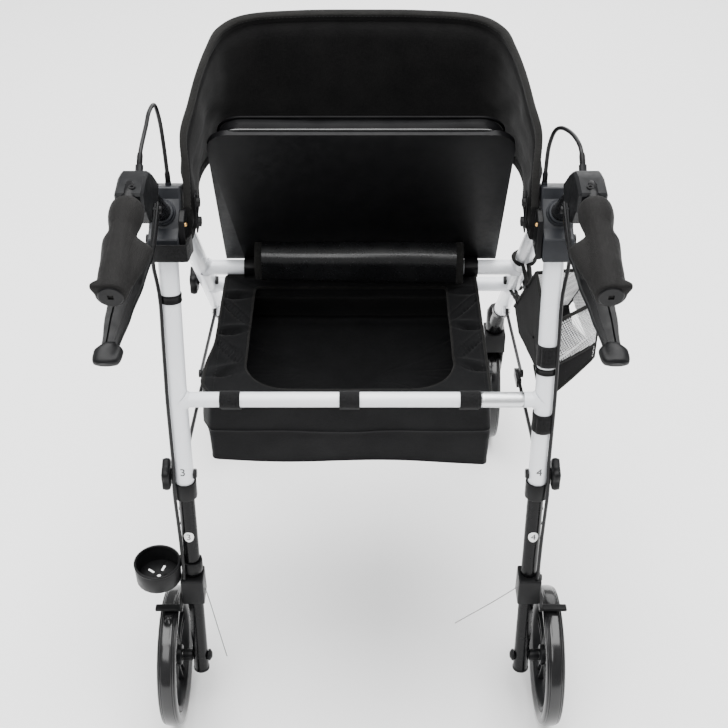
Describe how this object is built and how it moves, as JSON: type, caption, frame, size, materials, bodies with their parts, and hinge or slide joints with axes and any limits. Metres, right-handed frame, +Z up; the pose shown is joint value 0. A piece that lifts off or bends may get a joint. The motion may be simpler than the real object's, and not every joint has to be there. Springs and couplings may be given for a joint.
{
  "type": "four-wheel rollator",
  "caption": "Folding four-wheel rollator with loop brake levers, height-adjustable legs, flip-up padded seat, curved backrest, under-seat bag, side pouch and cane holder",
  "frame": {"origin": "on the floor, under the middle of the whole object", "axes": "+X to the right of a person walking behind it, +Y forward, +Z up"},
  "size_m": [0.635, 0.9457, 0.937],
  "materials": {
    "white_frame": "gloss white enamel",
    "black_tube": "gloss black",
    "grey_plastic": "satin dark blue-grey nylon",
    "black_plastic": "satin black",
    "steel": "bright zinc plate",
    "tyre": "glossy black, ribbed round the tread",
    "cable_cover": "smooth black cover",
    "grip_rubber": "textured dark rubber",
    "woven_cloth": "matte black woven nylon",
    "seat_vinyl": "black grained vinyl over foam"
  },
  "bodies": {
    "main_frame": {"front_frame": "white_frame", "backrest": "woven_cloth", "bag": "woven_cloth", "side_pouch": "woven_cloth", "cane_strap": "woven_cloth", "handle_bracket_left": "grey_plastic", "pivot_plate_left": "black_plastic", "backrest_clamp_left": "black_plastic", "handle_post_left": "black_tube", "brake_housing_left": "grey_plastic", "grip_left": "grip_rubber", "cable_loop_left": "cable_cover", "handle_bracket_right": "grey_plastic", "pivot_plate_right": "black_plastic", "backrest_clamp_right": "black_plastic", "handle_post_right": "black_tube", "brake_housing_right": "grey_plastic", "grip_right": "grip_rubber", "cable_loop_right": "cable_cover"},
    "rear_frame": {"rear_frame": "white_frame", "leg_collar_left": "black_plastic", "cable_run_left": "cable_cover", "leg_collar_right": "black_plastic", "cable_run_right": "cable_cover"},
    "seat": {"seat_board": "black_plastic", "seat_pad": "seat_vinyl"},
    "front_foot_left": {"front_extension_left": "black_tube"},
    "rear_foot_left": {"rear_leg_left": "black_tube", "rear_axle_left": "steel", "brake_clamp_left": "grey_plastic", "wire_tail_left": "steel", "cane_cup": "black_plastic"},
    "lever_left": {"brake_lever_left": "black_plastic"},
    "arm_left": {"brake_arm_left": "grey_plastic"},
    "caster_left": {"caster_fork_left": "black_plastic"},
    "front_wheel_left": {"front_left_tyre": "tyre", "front_left_rim": "grey_plastic"},
    "rear_wheel_left": {"rear_left_tyre": "tyre", "rear_left_rim": "grey_plastic"},
    "rear_link_left": {"brace_rear_left": "black_plastic"},
    "front_link_left": {"brace_front_left": "black_plastic"},
    "rear_knob_body_left": {"rear_knob_left": "black_plastic"},
    "front_knob_body_left": {"front_knob_left": "black_plastic"},
    "front_foot_right": {"front_extension_right": "black_tube"},
    "rear_foot_right": {"rear_leg_right": "black_tube", "rear_axle_right": "steel", "brake_clamp_right": "grey_plastic", "wire_tail_right": "steel"},
    "lever_right": {"brake_lever_right": "black_plastic"},
    "arm_right": {"brake_arm_right": "grey_plastic"},
    "caster_right": {"caster_fork_right": "black_plastic"},
    "front_wheel_right": {"front_right_tyre": "tyre", "front_right_rim": "grey_plastic"},
    "rear_wheel_right": {"rear_right_tyre": "tyre", "rear_right_rim": "grey_plastic"},
    "rear_link_right": {"brace_rear_right": "black_plastic"},
    "front_link_right": {"brace_front_right": "black_plastic"},
    "rear_knob_body_right": {"rear_knob_right": "black_plastic"},
    "front_knob_body_right": {"front_knob_right": "black_plastic"}
  },
  "joints": [
    {"name": "frame_fold", "type": "hinge", "parent": "main_frame", "child": "rear_frame", "pos_m": [0, -0.175, 0.768], "axis": [1, 0, 0], "range_deg": [0, 28], "deforming": ["bag", "side_pouch"]},
    {"name": "seat_flip", "type": "hinge", "parent": "main_frame", "child": "seat", "pos_m": [0, 0.093, 0.549], "axis": [-1, 0, 0], "range_deg": [-62.5, 0]},
    {"name": "rear_leg_slide_left", "type": "slide", "parent": "rear_frame", "child": "rear_foot_left", "axis": [0, -0.1002, -0.995], "range_m": [0, 0.05], "deforming": ["cable_run_left"]},
    {"name": "front_leg_slide_left", "type": "slide", "parent": "main_frame", "child": "front_foot_left", "axis": [0, 0.6521, -0.7581], "range_m": [0, 0.065]},
    {"name": "brake_lever_left", "type": "hinge", "parent": "main_frame", "child": "lever_left", "pos_m": [-0.246, -0.278, 0.873], "axis": [1, 0, 0], "range_deg": [-12, 12], "stiffness_Nm_per_rad": 3},
    {"name": "brake_arm_left", "type": "hinge", "parent": "rear_foot_left", "child": "arm_left", "pos_m": [-0.2375, -0.231, 0.228], "axis": [1, 0, 0], "range_deg": [-2.2, 2.2]},
    {"name": "caster_swivel_left", "type": "hinge", "parent": "front_foot_left", "child": "caster_left", "pos_m": [-0.2375, 0.339, 0.2517], "axis": [0, 0, 1], "continuous": true},
    {"name": "front_wheel_spin_left", "type": "hinge", "parent": "caster_left", "child": "front_wheel_left", "pos_m": [-0.2375, 0.374, 0.102], "axis": [1, 0, 0], "continuous": true},
    {"name": "rear_wheel_spin_left", "type": "hinge", "parent": "rear_foot_left", "child": "rear_wheel_left", "pos_m": [-0.2745, -0.268, 0.102], "axis": [1, 0, 0], "continuous": true},
    {"name": "brace_rear_left", "type": "hinge", "parent": "rear_frame", "child": "rear_link_left", "pos_m": [-0.2335, -0.21236, 0.46005], "axis": [1, 0, 0], "range_deg": [-84.5, 0]},
    {"name": "brace_front_left", "type": "hinge", "parent": "main_frame", "child": "front_link_left", "pos_m": [-0.2395, 0.21505, 0.37941], "axis": [1, 0, 0], "range_deg": [0, 38.5]},
    {"name": "rear_knob_turn_left", "type": "hinge", "parent": "rear_frame", "child": "rear_knob_body_left", "pos_m": [-0.2375, -0.23448, 0.435], "axis": [1, 0, 0], "continuous": true},
    {"name": "front_knob_turn_left", "type": "hinge", "parent": "main_frame", "child": "front_knob_body_left", "pos_m": [-0.2375, 0.14636, 0.48916], "axis": [1, 0, 0], "continuous": true},
    {"name": "rear_leg_slide_right", "type": "slide", "parent": "rear_frame", "child": "rear_foot_right", "axis": [0, -0.1002, -0.995], "range_m": [0, 0.05], "deforming": ["cable_run_right"]},
    {"name": "front_leg_slide_right", "type": "slide", "parent": "main_frame", "child": "front_foot_right", "axis": [0, 0.6521, -0.7581], "range_m": [0, 0.065]},
    {"name": "brake_lever_right", "type": "hinge", "parent": "main_frame", "child": "lever_right", "pos_m": [0.246, -0.278, 0.873], "axis": [1, 0, 0], "range_deg": [-12, 12], "stiffness_Nm_per_rad": 3},
    {"name": "brake_arm_right", "type": "hinge", "parent": "rear_foot_right", "child": "arm_right", "pos_m": [0.2375, -0.231, 0.228], "axis": [1, 0, 0], "range_deg": [-2.2, 2.2]},
    {"name": "caster_swivel_right", "type": "hinge", "parent": "front_foot_right", "child": "caster_right", "pos_m": [0.2375, 0.339, 0.2517], "axis": [0, 0, 1], "continuous": true},
    {"name": "front_wheel_spin_right", "type": "hinge", "parent": "caster_right", "child": "front_wheel_right", "pos_m": [0.2375, 0.374, 0.102], "axis": [1, 0, 0], "continuous": true},
    {"name": "rear_wheel_spin_right", "type": "hinge", "parent": "rear_foot_right", "child": "rear_wheel_right", "pos_m": [0.2745, -0.268, 0.102], "axis": [1, 0, 0], "continuous": true},
    {"name": "brace_rear_right", "type": "hinge", "parent": "rear_frame", "child": "rear_link_right", "pos_m": [0.2335, -0.21236, 0.46005], "axis": [1, 0, 0], "range_deg": [-84.5, 0]},
    {"name": "brace_front_right", "type": "hinge", "parent": "main_frame", "child": "front_link_right", "pos_m": [0.2395, 0.21505, 0.37941], "axis": [1, 0, 0], "range_deg": [0, 38.5]},
    {"name": "rear_knob_turn_right", "type": "hinge", "parent": "rear_frame", "child": "rear_knob_body_right", "pos_m": [0.2375, -0.23448, 0.435], "axis": [1, 0, 0], "continuous": true},
    {"name": "front_knob_turn_right", "type": "hinge", "parent": "main_frame", "child": "front_knob_body_right", "pos_m": [0.2375, 0.14636, 0.48916], "axis": [1, 0, 0], "continuous": true}
  ],
  "couplings": [
    {"joint": "brake_arm_left", "follows": "brake_lever_left", "ratio": -0.18},
    {"joint": "brace_rear_left", "follows": "frame_fold", "ratio": -3.0036},
    {"joint": "brace_front_left", "follows": "frame_fold", "ratio": 1.3668},
    {"joint": "brake_arm_right", "follows": "brake_lever_right", "ratio": -0.18},
    {"joint": "brace_rear_right", "follows": "frame_fold", "ratio": -3.0036},
    {"joint": "brace_front_right", "follows": "frame_fold", "ratio": 1.3668}
  ]
}
